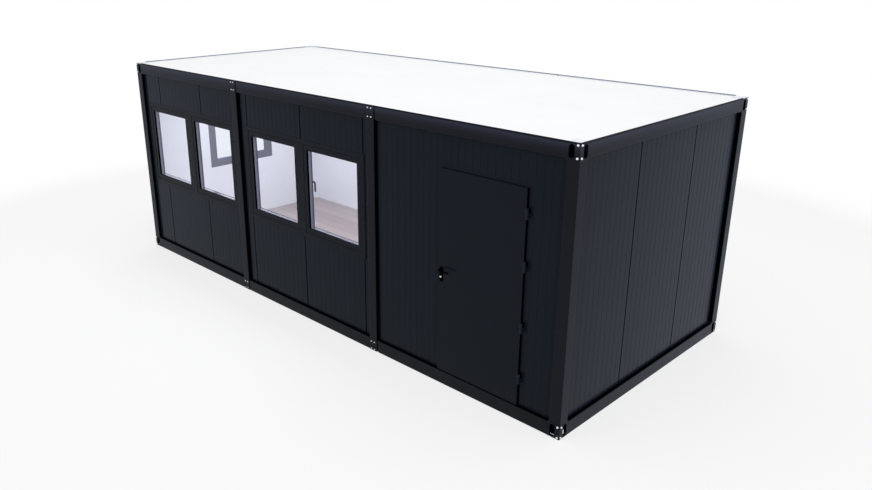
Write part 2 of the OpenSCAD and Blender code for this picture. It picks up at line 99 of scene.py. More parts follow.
class Paint:
    """A Principled material under construction, with its object coordinates."""

    def __init__(self, name, **sockets):
        self.mat = bpy.data.materials.new(name)
        self.mat.use_nodes = True
        self.nodes = self.mat.node_tree.nodes
        self.links = self.mat.node_tree.links
        self.shader = self.nodes["Principled BSDF"]
        self.coord = self.nodes.new("ShaderNodeTexCoord").outputs["Object"]
        for key, value in sockets.items():
            self.shader.inputs[key.replace("_", " ")].default_value = value

    def link(self, source, target):
        self.links.new(source, target)

    def value(self, socket, value):
        """Link a source to the socket, or set it to a plain value."""
        if hasattr(value, "is_linked"):
            self.link(value, socket)
        else:
            socket.default_value = value

    def math(self, operation, a, b=0.0, clamp=False):
        n = self.nodes.new("ShaderNodeMath")
        n.operation = operation
        n.use_clamp = clamp
        self.value(n.inputs[0], a)
        self.value(n.inputs[1], b)
        return n.outputs[0]

    def vector(self, operation, a, b=(0.0, 0.0, 0.0)):
        n = self.nodes.new("ShaderNodeVectorMath")
        n.operation = operation
        self.value(n.inputs[0], a)
        self.value(n.inputs[1], b)
        return n

    def axis(self, letter):
        n = self.nodes.new("ShaderNodeSeparateXYZ")
        self.link(self.coord, n.inputs[0])
        return n.outputs[letter]

    def from_middle(self, letter):
        """Distance along one axis from the middle of the cabin."""
        place = self.axis(letter)
        if letter == "Z":
            place = self.math("SUBTRACT", place, HEIGHT / 2)
        return self.math("ABSOLUTE", place)

    def within(self, source, low, high):
        return self.math("MULTIPLY", self.math("GREATER_THAN", source, low),
                         self.math("LESS_THAN", source, high))

    def inset(self, distance, size, near, far):
        """1 where a distance from the middle is near to far short of half this size."""
        return self.within(distance, size / 2 - far, size / 2 - near)

    def all_of(self, first, *others):
        for other in others:
            first = self.math("MULTIPLY", first, other)
        return first

    def scaled(self, x, y, z):
        """Object coordinates stretched along each axis."""
        n = self.nodes.new("ShaderNodeMapping")
        self.link(self.coord, n.inputs["Vector"])
        n.inputs["Scale"].default_value = (x, y, z)
        return n.outputs[0]

    def noise(self, scale, detail=3.0, rough=0.5, coord=None):
        n = self.nodes.new("ShaderNodeTexNoise")
        self.link(coord or self.coord, n.inputs["Vector"])
        n.inputs["Scale"].default_value = scale
        n.inputs["Detail"].default_value = detail
        n.inputs["Roughness"].default_value = rough
        return n.outputs["Fac"]

    def span(self, source, low, high, to_low=0.0, to_high=1.0):
        """Stretch low to high onto another range, and hold it there beyond them."""
        n = self.nodes.new("ShaderNodeMapRange")
        self.link(source, n.inputs["Value"])
        for name, v in (("From Min", low), ("From Max", high), ("To Min", to_low), ("To Max", to_high)):
            n.inputs[name].default_value = v
        return n.outputs[0]

    def spread(self, noise, to_low=0.0, to_high=1.0):
        """Stretch the middle of a noise's range, where nearly all of it lies."""
        return self.span(noise, 0.3, 0.7, to_low, to_high)

    def mixed(self, kind, factor, a, b):
        n = self.nodes.new("ShaderNodeMix")
        n.data_type = kind
        for name, v in (("Factor", factor), ("A", a), ("B", b)):
            self.value(n.inputs[name], v)
        return n.outputs["Result"]

    def mix(self, factor, a, b):
        """Blend two colours, each a source or three numbers."""
        a, b = (c if hasattr(c, "is_linked") else (*c, 1.0) for c in (a, b))
        return self.mixed("RGBA", factor, a, b)

    def vary(self, noise, colour, share):
        """Colour that a noise makes darker and lighter by this share."""
        return self.mix(self.spread(noise), shade(colour, 1 - share), shade(colour, 1 + share))

    def flattened(self, share):
        """Surface normal turned by this share towards the nearest axis."""
        normal = self.nodes.new("ShaderNodeNewGeometry").outputs["Normal"]
        nearest = self.vector("FLOOR", self.vector("ADD", normal, (0.5, 0.5, 0.5)).outputs[0]).outputs[0]
        return self.vector("NORMALIZE", self.mixed("VECTOR", share, normal, nearest)).outputs[0]

    def bump(self, height, strength, distance=0.001, normal=None):
        n = self.nodes.new("ShaderNodeBump")
        if normal:
            self.link(normal, n.inputs["Normal"])
        n.inputs["Strength"].default_value = strength
        n.inputs["Distance"].default_value = distance
        self.link(height, n.inputs["Height"])
        self.link(n.outputs[0], self.shader.inputs["Normal"])

    def colour(self, source):
        self.link(source, self.shader.inputs["Base Color"])

    def roughness(self, source):
        self.link(source, self.shader.inputs["Roughness"])


def shade(colour, factor):
    return tuple(c * factor for c in colour)


def deeper_than(p, depth, above=-1.0):
    """1 on faces that lie deeper than this behind all four sides, above a height."""
    return p.all_of(p.math("LESS_THAN", p.from_middle("X"), LENGTH / 2 - depth),
                    p.math("LESS_THAN", p.from_middle("Y"), WIDTH / 2 - depth),
                    p.math("GREATER_THAN", p.axis("Z"), above))


# Colours
LINING = (0.822, 0.839, 0.888)
FRAME_PAINT = (0.0078, 0.0090, 0.0124)
PANEL_PAINT = (0.0056, 0.0094, 0.0146)
DOOR_PAINT = (0.0058, 0.0081, 0.0124)
WINDOW_PAINT = (0.0064, 0.0092, 0.0144)
WINDOW_INSIDE = (0.105, 0.110, 0.155)
# Black of the panel joints, and of the painted shade in the castings' slots and hollows
BLACK = (0.0008, 0.0008, 0.0009)
BLUE_SHEEN = (0.30, 0.53, 1.0, 1.0)
DUST = (0.11, 0.10, 0.09)
# Painted light of the sky on the upper part of the roof rails
ROOF_RAIL_SKY_LIGHT = (0.034, 0.039, 0.062)
CASTING_TOP = (0.80, 0.81, 0.83)
ROOF_WHITE = (0.86, 0.865, 0.875)
WOOD = ((0.318, 0.256, 0.262), (0.452, 0.380, 0.382))
WOOD_JOINT = (0.17, 0.13, 0.12)
BARE_BOARD = ((0.22, 0.15, 0.09), (0.34, 0.24, 0.15))
TRIM_DARK = ((0.0052, 0.0066, 0.0132), (0.0068, 0.0084, 0.0168))
# Pale blue-grey of the trim's roof side, painted shade on that face
TRIM_PALE_SHADE = ((0.125, 0.160, 0.300), (0.140, 0.178, 0.330))

# Depths and heights where a paint changes, each just in front of or just behind a face
BEHIND_PANEL_FACE = RECESS + 0.0004
IN_PANEL_JOINT = RECESS + 0.006
IN_ROOM = WALL_BACK - 0.002
ON_DECK = 0.11
INSIDE_WINDOW = 0.0885
INSIDE_TRIM = 0.0055
INSIDE_RIM = 0.0035
RIM_FOOT = HEIGHT - 0.0105
TOP_FACE = HEIGHT - 0.0030
TOP_MARGIN = 0.001
DUST_TOP = 0.35

# In from the cabin's outer faces: nearly a casting's wall, and where the reveals of its slots lie
CASTING_WALL = 0.0088
REVEAL_DEPTH = (0.0006, CASTING_WALL)
REVEAL_U = (0.049, 0.107)
REVEAL_Z = (0.014, 0.131)


def satin(name, colour, specular, rough, orange_peel, flat=0.0):
    """Satin paint on steel: slight cloudiness, fine orange peel, a little dust near the ground."""
    p = Paint(name, Specular_IOR_Level=specular, Sheen_Weight=0.35, Sheen_Roughness=0.3,
              Sheen_Tint=BLUE_SHEEN)
    cloud = p.noise(1.3, detail=4.0, rough=0.6)
    base = p.mix(p.span(cloud, 0.35, 0.68), shade(colour, 0.93), shade(colour, 1.08))
    low = p.span(p.axis("Z"), 0.0, DUST_TOP, 1.0, 0.0)
    patches = p.span(p.noise(9.0, detail=5.0, rough=0.65), 0.45, 0.75)
    dust = p.math("MULTIPLY", low, patches, clamp=True)
    base = p.mix(p.math("MULTIPLY", dust, 0.05), base, DUST)
    p.roughness(p.spread(p.noise(5.0, detail=4.0, rough=0.6), rough - 0.03, rough + 0.04))
    peel = p.noise(900.0, detail=2.0, rough=0.5)
    p.bump(peel, strength=orange_peel, distance=0.0004, normal=p.flattened(flat) if flat else None)
    return p, base


def painted_steel(name, colour, specular, rough):
    p, base = satin(name, colour, specular, rough, orange_peel=0.15)
    p.colour(base)
    return p.mat


def lining(p, tone=1.0):
    """Colour of the white lining in the room, scaled by tone, which paints light and shade on it."""
    return p.mix(p.spread(p.noise(2.0)), shade(LINING, tone - 0.02), shade(LINING, tone + 0.02))


def frame_coat():
    """Paint of the frame, with white tops on the castings and lining on what shows in the room, painted
    light at the top of the roof rails, and painted shade in the castings' slots and hollows.
    """
    p, base = satin("frame_paint", FRAME_PAINT, specular=0.05, rough=0.30, orange_peel=0.2)
    x, y, z = (p.from_middle(letter) for letter in "XYZ")
    # Painted light: the roof rails grow paler and bluer towards the top, as if lit by the sky
    sky_light = p.math("POWER", p.span(p.axis("Z"), HEIGHT - RAIL_H, HEIGHT), 2.5)
    base = p.mix(sky_light, base, ROOF_RAIL_SKY_LIGHT)
    # Painted shade in black on the reveals of the slots and in the hollows of the castings, and lining in
    # the room
    long_slots = p.all_of(p.inset(x, LENGTH, *REVEAL_U), p.inset(y, WIDTH, *REVEAL_DEPTH))
    end_slots = p.all_of(p.inset(y, WIDTH, *REVEAL_U), p.inset(x, LENGTH, *REVEAL_DEPTH))
    slots = p.math("ADD", long_slots, end_slots, clamp=True)
    base = p.mix(p.all_of(p.inset(z, HEIGHT, *REVEAL_Z), slots), base, BLACK)
    base = p.mix(deeper_than(p, IN_ROOM, ON_DECK), base, lining(p))
    hollow_shade = p.all_of(p.inset(x, LENGTH, CASTING_WALL, CASTING_W - CASTING_WALL),
                      p.inset(y, WIDTH, CASTING_WALL, CASTING_W - CASTING_WALL),
                      p.inset(z, HEIGHT, CASTING_WALL, CASTING_H - CASTING_WALL))
    base = p.mix(hollow_shade, base, BLACK)
    # White on the roof side of the rim and on the castings' tops
    casting_tops = p.all_of(p.math("GREATER_THAN", p.axis("Z"), TOP_FACE),
                            p.math("GREATER_THAN", x, LENGTH / 2 - CASTING_W - TOP_MARGIN),
                            p.math("GREATER_THAN", y, WIDTH / 2 - CASTING_W - TOP_MARGIN))
    white = p.math("ADD", deeper_than(p, INSIDE_RIM, RIM_FOOT), casting_tops, clamp=True)
    p.colour(p.mix(white, base, CASTING_TOP))
    return p.mat


def wall_paint(name, groove_shade, flat, inside):
    """Coil-coated wall panels: dark outside with black joints, white lining inside.

    groove_shade is the painted shade in the grooves between the ribs, as a share of the paint's colour,
    flat how much the ribs are hidden, and inside the tone of the lining, which paints light and shade:
    lighter on the long walls, darker on the end walls.
    """
    p, base = satin(name, PANEL_PAINT, specular=0.05, rough=0.20, orange_peel=0.15, flat=flat)
    # Painted shade in the grooves between the ribs
    base = p.mix(deeper_than(p, BEHIND_PANEL_FACE), base, shade(PANEL_PAINT, groove_shade))
    base = p.mix(deeper_than(p, IN_PANEL_JOINT), base, BLACK)
    # The lining, at a tone that paints light and shade: lighter on the long walls, darker on the end walls
    p.colour(p.mix(deeper_than(p, IN_ROOM), base, lining(p, inside)))
    return p.mat


def window_profile():
    """Foiled plastic profile: satin, with a very fine grain, greyer on the room side."""
    p = Paint("window_profile", Specular_IOR_Level=0.05)
    grain = p.noise(60.0, detail=4.0, rough=0.6, coord=p.scaled(1.0, 1.0, 6.0))
    outside = p.vary(grain, WINDOW_PAINT, 0.08)
    inside = p.vary(grain, WINDOW_INSIDE, 0.05)
    p.colour(p.mix(deeper_than(p, INSIDE_WINDOW), outside, inside))
    p.roughness(p.spread(p.noise(8.0), 0.26, 0.36))
    foil = p.noise(420.0, rough=0.6, coord=p.scaled(1.0, 1.0, 4.0))
    p.bump(foil, strength=0.18, distance=0.0003)
    return p.mat


def off_joint(p, place, half_joint):
    """0 within half a joint of each whole number that place passes, else 1."""
    from_centre = p.math("ABSOLUTE", p.math("SUBTRACT", p.math("FRACT", place), 0.5))
    return p.math("LESS_THAN", from_centre, 0.5 - half_joint)


def planks():
    """Floor covering in long planks on top, bare board underneath."""
    p = Paint("floor_planks", Specular_IOR_Level=0.35)
    across = p.math("DIVIDE", p.axis("Y"), PLANK_W)
    row = p.math("FLOOR", across)
    shift = p.math("FLOORED_MODULO", p.math("MULTIPLY", row, ROW_SHIFT), 1.0)
    along = p.math("ADD", p.math("DIVIDE", p.axis("X"), PLANK_L), shift)
    plank = p.nodes.new("ShaderNodeCombineXYZ")
    p.link(row, plank.inputs[0])
    p.link(p.math("FLOOR", along), plank.inputs[1])
    each = p.nodes.new("ShaderNodeTexWhiteNoise")
    each.noise_dimensions = "3D"
    p.link(plank.outputs[0], each.inputs["Vector"])
    grain = p.noise(7.0, detail=6.0, rough=0.62, coord=p.scaled(0.6, 9.0, 9.0))
    tone = p.math("ADD", p.math("MULTIPLY", each.outputs["Value"], 0.7), p.math("MULTIPLY", grain, 0.5))
    wood = p.mix(p.span(tone, 0.1, 0.95), *WOOD)
    solid = p.math("MULTIPLY", off_joint(p, along, 0.0015), off_joint(p, across, 0.012))
    top = p.mix(solid, WOOD_JOINT, wood)
    chips = p.noise(14.0, detail=5.0, rough=0.6, coord=p.scaled(0.4, 3.0, 3.0))
    board = p.mix(p.spread(chips), *BARE_BOARD)
    p.colour(p.mix(p.math("GREATER_THAN", p.axis("Z"), DECK - 0.001), board, top))
    p.roughness(p.spread(grain, 0.42, 0.58))
    p.bump(p.math("ADD", solid, p.math("MULTIPLY", grain, 0.25)), strength=0.35, distance=0.0006)
    return p.mat


def lines_across(p, first, half_width):
    """Lines across the cabin, one each metre from X = first, that fade out over half their width."""
    along = p.math("FRACT", p.math("ADD", p.axis("X"), 0.5 - first))
    from_line = p.math("ABSOLUTE", p.math("SUBTRACT", along, 0.5))
    return p.span(from_line, 0.0, half_width, 1.0, 0.0)


def roof_coat():
    """White coated roof sheets laid across the cabin, with a lapped seam every metre."""
    p = Paint("roof_coating", Specular_IOR_Level=0.30)
    seam = lines_across(p, first=0.0, half_width=0.006)
    stains = p.span(p.noise(1.1, detail=5.0, rough=0.6), 0.35, 0.7)
    base = p.mix(stains, ROOF_WHITE, shade(ROOF_WHITE, 0.97))
    p.colour(p.mix(p.math("MULTIPLY", seam, 0.10), base, shade(ROOF_WHITE, 0.6)))
    p.roughness(p.spread(p.noise(3.0), 0.45, 0.55))
    height = p.math("ADD", seam, p.math("MULTIPLY", p.noise(6.0, detail=2.0), 0.2))
    p.bump(height, strength=0.3, distance=0.002)
    return p.mat


def ceiling_coat():
    """White lined ceiling with a fine joint every metre."""
    p = Paint("ceiling_lining", Specular_IOR_Level=0.25)
    joint = lines_across(p, first=0.5, half_width=0.004)
    base = p.mix(p.spread(p.noise(1.5)), LINING, shade(LINING, 1.04))
    p.colour(p.mix(p.math("MULTIPLY", joint, 0.5), base, shade(LINING, 0.45)))
    p.roughness(p.spread(p.noise(5.0), 0.45, 0.55))
    p.bump(joint, strength=0.3)
    return p.mat


def glazing():
    """Clear sealed glazing: see-through with a cool tint and a thin gloss."""
    p = Paint("glazing")
    p.nodes.remove(p.shader)
    clear = p.nodes.new("ShaderNodeBsdfTransparent")
    clear.inputs["Color"].default_value = (0.955, 0.965, 0.985, 1.0)
    gloss = p.nodes.new("ShaderNodeBsdfGlossy")
    gloss.inputs["Color"].default_value = (0.90, 0.94, 1.0, 1.0)
    gloss.inputs["Roughness"].default_value = 0.02
    facing = p.nodes.new("ShaderNodeLayerWeight")
    facing.inputs["Blend"].default_value = 0.5
    grazing = p.math("POWER", facing.outputs["Facing"], 5.0)
    ripple = p.nodes.new("ShaderNodeBump")
    ripple.inputs["Strength"].default_value = 0.02
    ripple.inputs["Distance"].default_value = 0.001
    p.link(p.noise(1.2, detail=1.0), ripple.inputs["Height"])
    p.link(ripple.outputs[0], gloss.inputs["Normal"])
    both = p.nodes.new("ShaderNodeMixShader")
    p.link(p.span(grazing, 0.0, 1.0, 0.03, 0.9), both.inputs[0])
    p.link(clear.outputs[0], both.inputs[1])
    p.link(gloss.outputs[0], both.inputs[2])
    p.link(both.outputs[0], p.nodes["Material Output"].inputs["Surface"])
    return p.mat


def plain(name, colour, rough, specular=0.5, metallic=0.0, vary=0.12, grain=120.0):
    """Material of a small fitting: one colour that varies a little, with a fine grain."""
    p = Paint(name, Specular_IOR_Level=specular, Metallic=metallic)
    n = p.noise(grain, detail=4.0, rough=0.6)
    p.colour(p.vary(n, colour, vary))
    p.roughness(p.spread(p.noise(grain / 3), max(rough - 0.06, 0.02), rough + 0.06))
    p.bump(n, strength=0.15, distance=0.0003)
    return p.mat


def edge_trim():
    """Folded trim: dark paint outside; on the side of the roof a pale blue-grey that paints the shade on
    that face.
    """
    p = Paint("edge_trim", Specular_IOR_Level=0.05)
    n = p.noise(40.0, detail=4.0, rough=0.6)
    dark = p.mix(p.spread(n), *TRIM_DARK)
    pale = p.mix(p.spread(n), *TRIM_PALE_SHADE)
    p.colour(p.mix(deeper_than(p, INSIDE_TRIM), dark, pale))
    p.roughness(p.spread(p.noise(12.0), 0.40, 0.52))
    p.bump(n, strength=0.15, distance=0.0003)
    return p.mat


# Materials of the record's slots, and of the end walls, whose ribs hardly show; the long walls carry
# painted shade in their grooves and a lining painted lighter than the end walls'
coats = {
    "frame_paint": frame_coat(),
    "panel_paint": wall_paint("panel_coating", groove_shade=0.70, flat=0.0, inside=1.04),
    "door_paint": painted_steel("door_paint", DOOR_PAINT, specular=0.05, rough=0.16),
    "hinge_steel": painted_steel("hinge_paint", DOOR_PAINT, specular=0.08, rough=0.30),
    "window_plastic": window_profile(),
    "pane_glass": glazing(),
    "floor_planks": planks(),
    "ceiling_white": ceiling_coat(),
    "roof_sheet": roof_coat(),
    "black_plastic": plain("black_fittings", (0.0006, 0.0006, 0.0008), rough=0.40, specular=0.004),
    "zinc": plain("zinc_plating", (0.95, 0.95, 0.96), rough=0.42, metallic=0.5, vary=0.03, grain=260.0),
}
END_COAT = wall_paint("end_panel_coating", groove_shade=1.0, flat=0.95, inside=0.96)

# Materials of the fittings made here
# Black rubber of the seals and gaskets, also used for the black pieces that paint shade
BLACK_RUBBER_AND_SHADE = plain("black_rubber_and_shade", (0.0010, 0.0010, 0.0011), rough=0.75, specular=0.0, grain=300.0)
TRIM = edge_trim()
# Dark tone of the strips on the leaf's top and foot, painted shade in the gaps there
TOP_EDGE_SHADE = plain("leaf_top_edge_shade", (0.0110, 0.0130, 0.0175), rough=0.60, specular=0.02, grain=40.0)
SPACER = plain("spacer_bar", (0.150, 0.148, 0.200), rough=0.40, specular=0.3, vary=0.06, grain=200.0)
INNER_BEAD = plain("glazing_bead", (0.085, 0.100, 0.180), rough=0.45, specular=0.2, vary=0.06)
DRAIN = plain("drain_strip", (0.61, 0.61, 0.68), rough=0.16, metallic=0.9, vary=0.03, grain=80.0)
SASH_SEAL = plain("sash_seal", (0.0050, 0.0070, 0.0200), rough=0.60, specular=0.01, grain=200.0)
HANDLE = plain("window_handle", (0.003, 0.004, 0.010), rough=0.50, specular=0.02)

for part in frame["record"]["subparts"]:
    is_end_wall = part["node"] in ("left_wall", "right_wall")
    slots = frame["nodes"][part["node"]].data.materials
    slots.clear()
    slots.append(END_COAT if is_end_wall else coats[part["material_slot"]])


# Fittings, built as meshes


class Shape:
    """A mesh made up of simple closed forms, which becomes one piece."""

    def __init__(self, name):
        self.name = name
        self.bm = bmesh.new()

    def soften(self, edges, bevel):
        """Round the edges over."""
        bmesh.ops.bevel(self.bm, geom=edges, offset=bevel, segments=2, profile=0.7, affect="EDGES")

    def box(self, a, b, bevel=0.0):
        """Block between two opposite corners."""
        low = Vector(map(min, a, b))
        high = Vector(map(max, a, b))
        where = Matrix.Translation((low + high) / 2) @ Matrix.Diagonal((*(high - low), 1))
        made = bmesh.ops.create_cube(self.bm, size=1.0, matrix=where)
        if bevel:
            self.soften(list(dict.fromkeys(e for v in made["verts"] for e in v.link_edges)), bevel)

    def round(self, centre, axis, radius, length, sides, bevel=0.0):
        """Cylinder that starts at centre and runs along axis, with its far rim bevelled."""
        way = Vector(axis).normalized()
        turn = way.to_track_quat("Z", "Y").to_matrix().to_4x4()
        where = Matrix.Translation(Vector(centre) + way * length / 2) @ turn
        made = bmesh.ops.create_cone(self.bm, cap_ends=True, segments=sides, radius1=radius,
                                     radius2=radius, depth=length, matrix=where)
        if bevel:
            far = Vector(centre) + way * length
            edges = dict.fromkeys(e for v in made["verts"] for e in v.link_edges)
            self.soften([e for e in edges if all((w.co - far).dot(way) > -1e-6 for w in e.verts)], bevel)

    def bar(self, outline, run):
        """Closed bar with the outline given as points, drawn along the vector run."""
        near = [self.bm.verts.new(p) for p in outline]
        far = [self.bm.verts.new(Vector(p) + run) for p in outline]
        self.bm.faces.new(near)
        self.bm.faces.new(far)
        for k in range(len(near)):
            self.bm.faces.new((near[k - 1], near[k], far[k], far[k - 1]))

    def tube(self, path, radius, sides=14):
        """Round bar along a path of points, with closed ends."""
        rings = []
        across = (path[1] - path[0]).normalized().orthogonal().normalized()
        turns = [2 * math.pi * i / sides for i in range(sides)]
        for k, point in enumerate(path):
            way = (path[min(k + 1, len(path) - 1)] - path[max(k - 1, 0)]).normalized()
            across = (across - across.dot(way) * way).normalized()
            other = way.cross(across)
            spokes = [math.cos(a) * across + math.sin(a) * other for a in turns]
            rings.append([self.bm.verts.new(point + radius * spoke) for spoke in spokes])
        for one, two in zip(rings, rings[1:]):
            for k in range(sides):
                self.bm.faces.new((one[k - 1], one[k], two[k], two[k - 1]))
        self.bm.faces.new(rings[0])
        self.bm.faces.new(rings[-1])

    def ring(self, side, hole, out, band, depth, bevel):
        """Frame round a hole (u0, u1, z0, z1) of a side: its outer edges lie out beyond the hole's."""
        u0, u1, z0, z1 = hole[0] - out, hole[1] + out, hole[2] - out, hole[3] + out
        near, far = depth
        for a, b in ((u0, u0 + band), (u1 - band, u1)):
            self.box(at(side, a, near, z0), at(side, b, far, z1), bevel)
        for a, b in ((z0, z0 + band), (z1 - band, z1)):
            self.box(at(side, u0 + band, near, a), at(side, u1 - band, far, b), bevel)

    def done(self, material, body="frame", smooth=False):
        """Make the piece, which rides on a body."""
        mesh = bpy.data.meshes.new(self.name)
        bmesh.ops.recalc_face_normals(self.bm, faces=self.bm.faces)
        self.bm.to_mesh(mesh)
        self.bm.free()
        mesh.materials.append(material)
        piece = bpy.data.objects.new(self.name, mesh)
        bpy.context.scene.collection.objects.link(piece)
        if smooth:
            mesh.shade_smooth()
            mesh.set_sharp_from_angle(angle=math.radians(35))
        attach(piece, body)


# Bolts: how far from the ends of the castings and posts they sit, and each head's width and height
BOLT_U = 0.0215
BOLT_Z = (0.018, 0.121)
CASTING_BOLT = (0.0135, 0.007)
POST_BOLT_U = (0.034, 0.080)
POST_BOLT_Z = (0.017, 0.100, HEIGHT - 0.111, HEIGHT - 0.025)
POST_BOLT = (0.0088, 0.006)
WASHER_T = 0.002


def bolt(shape, where, out, flats, height):
    """Washer and chamfered hexagon head on a face."""
    shape.round(where, out, flats * 0.70, WASHER_T, sides=28, bevel=0.0005)
    shape.round(where + out * WASHER_T, out, flats / math.sqrt(3), height, sides=6, bevel=0.0012)


def frame_bolts():
    """Bolts in the castings and in the ends of the middle posts."""
    bolts = Shape("frame_bolts")
    for side in SIDES:
        for u in (BOLT_U, SIDE_LENGTH[side] - BOLT_U):
            for z in (*BOLT_Z, *(HEIGHT - z for z in reversed(BOLT_Z))):
                bolt(bolts, at(side, u, 0, z), outward(side), *CASTING_BOLT)
    for side in LONG_SIDES:
        for start in POST_U:
            for u in POST_BOLT_U:
                for z in POST_BOLT_Z:
                    bolt(bolts, at(side, start + u, 0, z), outward(side), *POST_BOLT)
    bolts.done(coats["zinc"], smooth=True)


# Lock pins in the base castings: place (u, v, z) from the corner, radius and length
LYING_PIN = ((0.044, 0.013, 0.0242), 0.0022, 0.058)
UPRIGHT_PIN = ((0.0790, 0.0165, 0.027), 0.0055, 0.040)


def casting_pins():
    """Lock pins in the base castings: they lie in the long sides' slots and stand in the ends' slots."""
    pins = Shape("casting_pins")
    for side in SIDES:
        (u, v, z), radius, length = LYING_PIN if side in LONG_SIDES else UPRIGHT_PIN
        for corner, way in ((0.0, 1), (SIDE_LENGTH[side], -1)):
            start = at(side, corner + way * u, v, z)
            if side in LONG_SIDES:
                pins.round(start, at(side, corner + way, v, z) - start, radius, length, sides=12)
            else:
                pins.round(start, UP, radius, length, sides=16, bevel=0.0008)
    pins.done(coats["zinc"], smooth=True)


# Seals between frame and panels, black to paint the shade in the recess: a skin on the posts and rails from
# LIP on, and a strip on the panels
SKIN = 0.0012
LIP = 0.004
STRIP_DEPTH = (RECESS - 0.003, RECESS + 0.001)
STRIP_W = 0.014
WIDE_STRIP_W = 0.030
FOOT_STRIP_TOP = WALL_Z[0] + 0.006


def bays(side):
    """Pairs of u between which one side has its wall, from post to post."""
    posts = POST_U if side in LONG_SIDES else ()
    starts = [POST_W, *(u + MIDDLE_POST_W for u in posts)]
    ends = [*posts, SIDE_LENGTH[side] - POST_W]
    return zip(starts, ends)


def wall_shade_seals():
    """Black sealing strips in the recess between the frame and the wall panels, which paint the shade
    there.
    """
    seals = Shape("wall_shade_seals")
    near, far = STRIP_DEPTH
    foot, head = WALL_Z
    for side in SIDES:
        run = SIDE_LENGTH[side]
        for start, end in bays(side):
            for u, way in ((start, 1), (end, -1)):
                at_corner = u in (POST_W, run - POST_W)
                z0, z1 = (CASTING_H, HEIGHT - CASTING_H) if at_corner else WALL_Z
                seals.box(at(side, u, LIP, z0), at(side, u + way * SKIN, RECESS, z1), bevel=0.0003)
                # Wide strips also paint the dark reflection of the post's side face in the panel
                wide = u == POST_U[1] or (side == RIGHT and way < 0)
                inner = u + way * (WIDE_STRIP_W if wide else STRIP_W)
                seals.box(at(side, u + way * SKIN, near, z0), at(side, inner, far, z1), bevel=0.001)
            left, right = max(start, CASTING_W), min(end, run - CASTING_W)
            for z, way in ((foot, 1), (head, -1)):
                seals.box(at(side, left, LIP, z), at(side, right, RECESS, z + way * SKIN), bevel=0.0003)
            seals.box(at(side, left, near, foot + SKIN), at(side, right, far, FOOT_STRIP_TOP), bevel=0.001)
    seals.done(BLACK_RUBBER_AND_SHADE)


# Trim: sheet thickness, its top and foot outside, and the lip on the side of the roof
TRIM_T = 0.0014
TRIM_TOP = HEIGHT + 0.0035
TRIM_FOOT = HEIGHT - 0.012
TRIM_LIP = (0.0048, 0.0065)
TRIM_LIP_FOOT = HEIGHT - 0.004


def roof_edge_trim():
    """Folded trim over the upper edge of the roof rails and the middle posts."""
    trim = Shape("roof_edge_trim")
    near, far = TRIM_LIP
    outline = [(-TRIM_T, TRIM_FOOT), (-TRIM_T, TRIM_TOP), (far, TRIM_TOP), (far, TRIM_LIP_FOOT),
               (near, TRIM_LIP_FOOT), (near, TRIM_TOP - TRIM_T), (0.0, TRIM_TOP - TRIM_T), (0.0, TRIM_FOOT)]
    for side in SIDES:
        run = SIDE_LENGTH[side]
        first, last = (0.0, run - CASTING_W) if side in (FRONT, RIGHT) else (CASTING_W, run)
        points = [at(side, first, v, z) for v, z in outline]
        trim.bar(points, at(side, last, 0, 0) - at(side, first, 0, 0))
    trim.done(TRIM)


# Windows: widths of casing, sash and bead, depths of sash and pane, and how far the strips stand proud
CASING_W = 0.054
SASH_W = 0.061
BEAD_W = 0.008
SASH_FRONT = RECESS + 0.001
SASH_BACK = 0.090
PANE_T = 0.024
GLASS_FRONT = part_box("window_panes")[0].y + WIDTH / 2
GLASS_BACK = GLASS_FRONT + PANE_T
STRIP_PROUD = 0.0004
WINDOWS = 5
LAST_FRONT_WINDOW = 4

# Drain strip at the foot of the hole in a sash: its depths, and its heights above the hole's foot
DRAIN_DEPTH = (GLASS_FRONT + 0.0005, SASH_BACK - 0.001)
DRAIN_Z = (0.0004, 0.0016)

# Black strip of painted shade in the wall before the last front window's casing: how far from it, and its
# depths
SHADE_STRIP_U = (0.0115, 0.0215)
SHADE_STRIP_DEPTH = (RECESS - 0.0012, RECESS + 0.002)

# Window handles: the last window with its handle on the first jamb, their height and place on the sash
LAST_ON_FIRST_JAMB = 3
HANDLE_Z = 1.610
HANDLE_TO_HOLE = 0.026
HANDLE_RADIUS = 0.0110
ROSETTE_HALF_W = 0.014
ROSETTE_Z = (HANDLE_Z - 0.035, HANDLE_Z + 0.030)
ROSETTE_BACK = SASH_BACK + 0.009


def window_places():
    """Side, u0, u1, z0 and z1 of each casing, in order of number."""
    places = []
    for number in range(1, WINDOWS + 1):
        low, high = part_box(f"window_casing_{number}")
        if number <= LAST_FRONT_WINDOW:
            places.append((FRONT, LENGTH / 2 - high.x, LENGTH / 2 - low.x, low.z, high.z))
        else:
            places.append((LEFT, low.y + WIDTH / 2, high.y + WIDTH / 2, low.z, high.z))
    return places


def bead_strip(way, edge):
    """Outline of a thin strip on the sloped bead that ends at edge, as (offset, depth)."""
    over, under = edge + way * (BEAD_W + STRIP_PROUD), edge - way * 0.0006
    return [(over, SASH_FRONT - STRIP_PROUD), (under, SASH_FRONT + 0.0100), (under, GLASS_FRONT),
            (edge + way * 0.0010, GLASS_FRONT), (over, SASH_FRONT + 0.0012)]


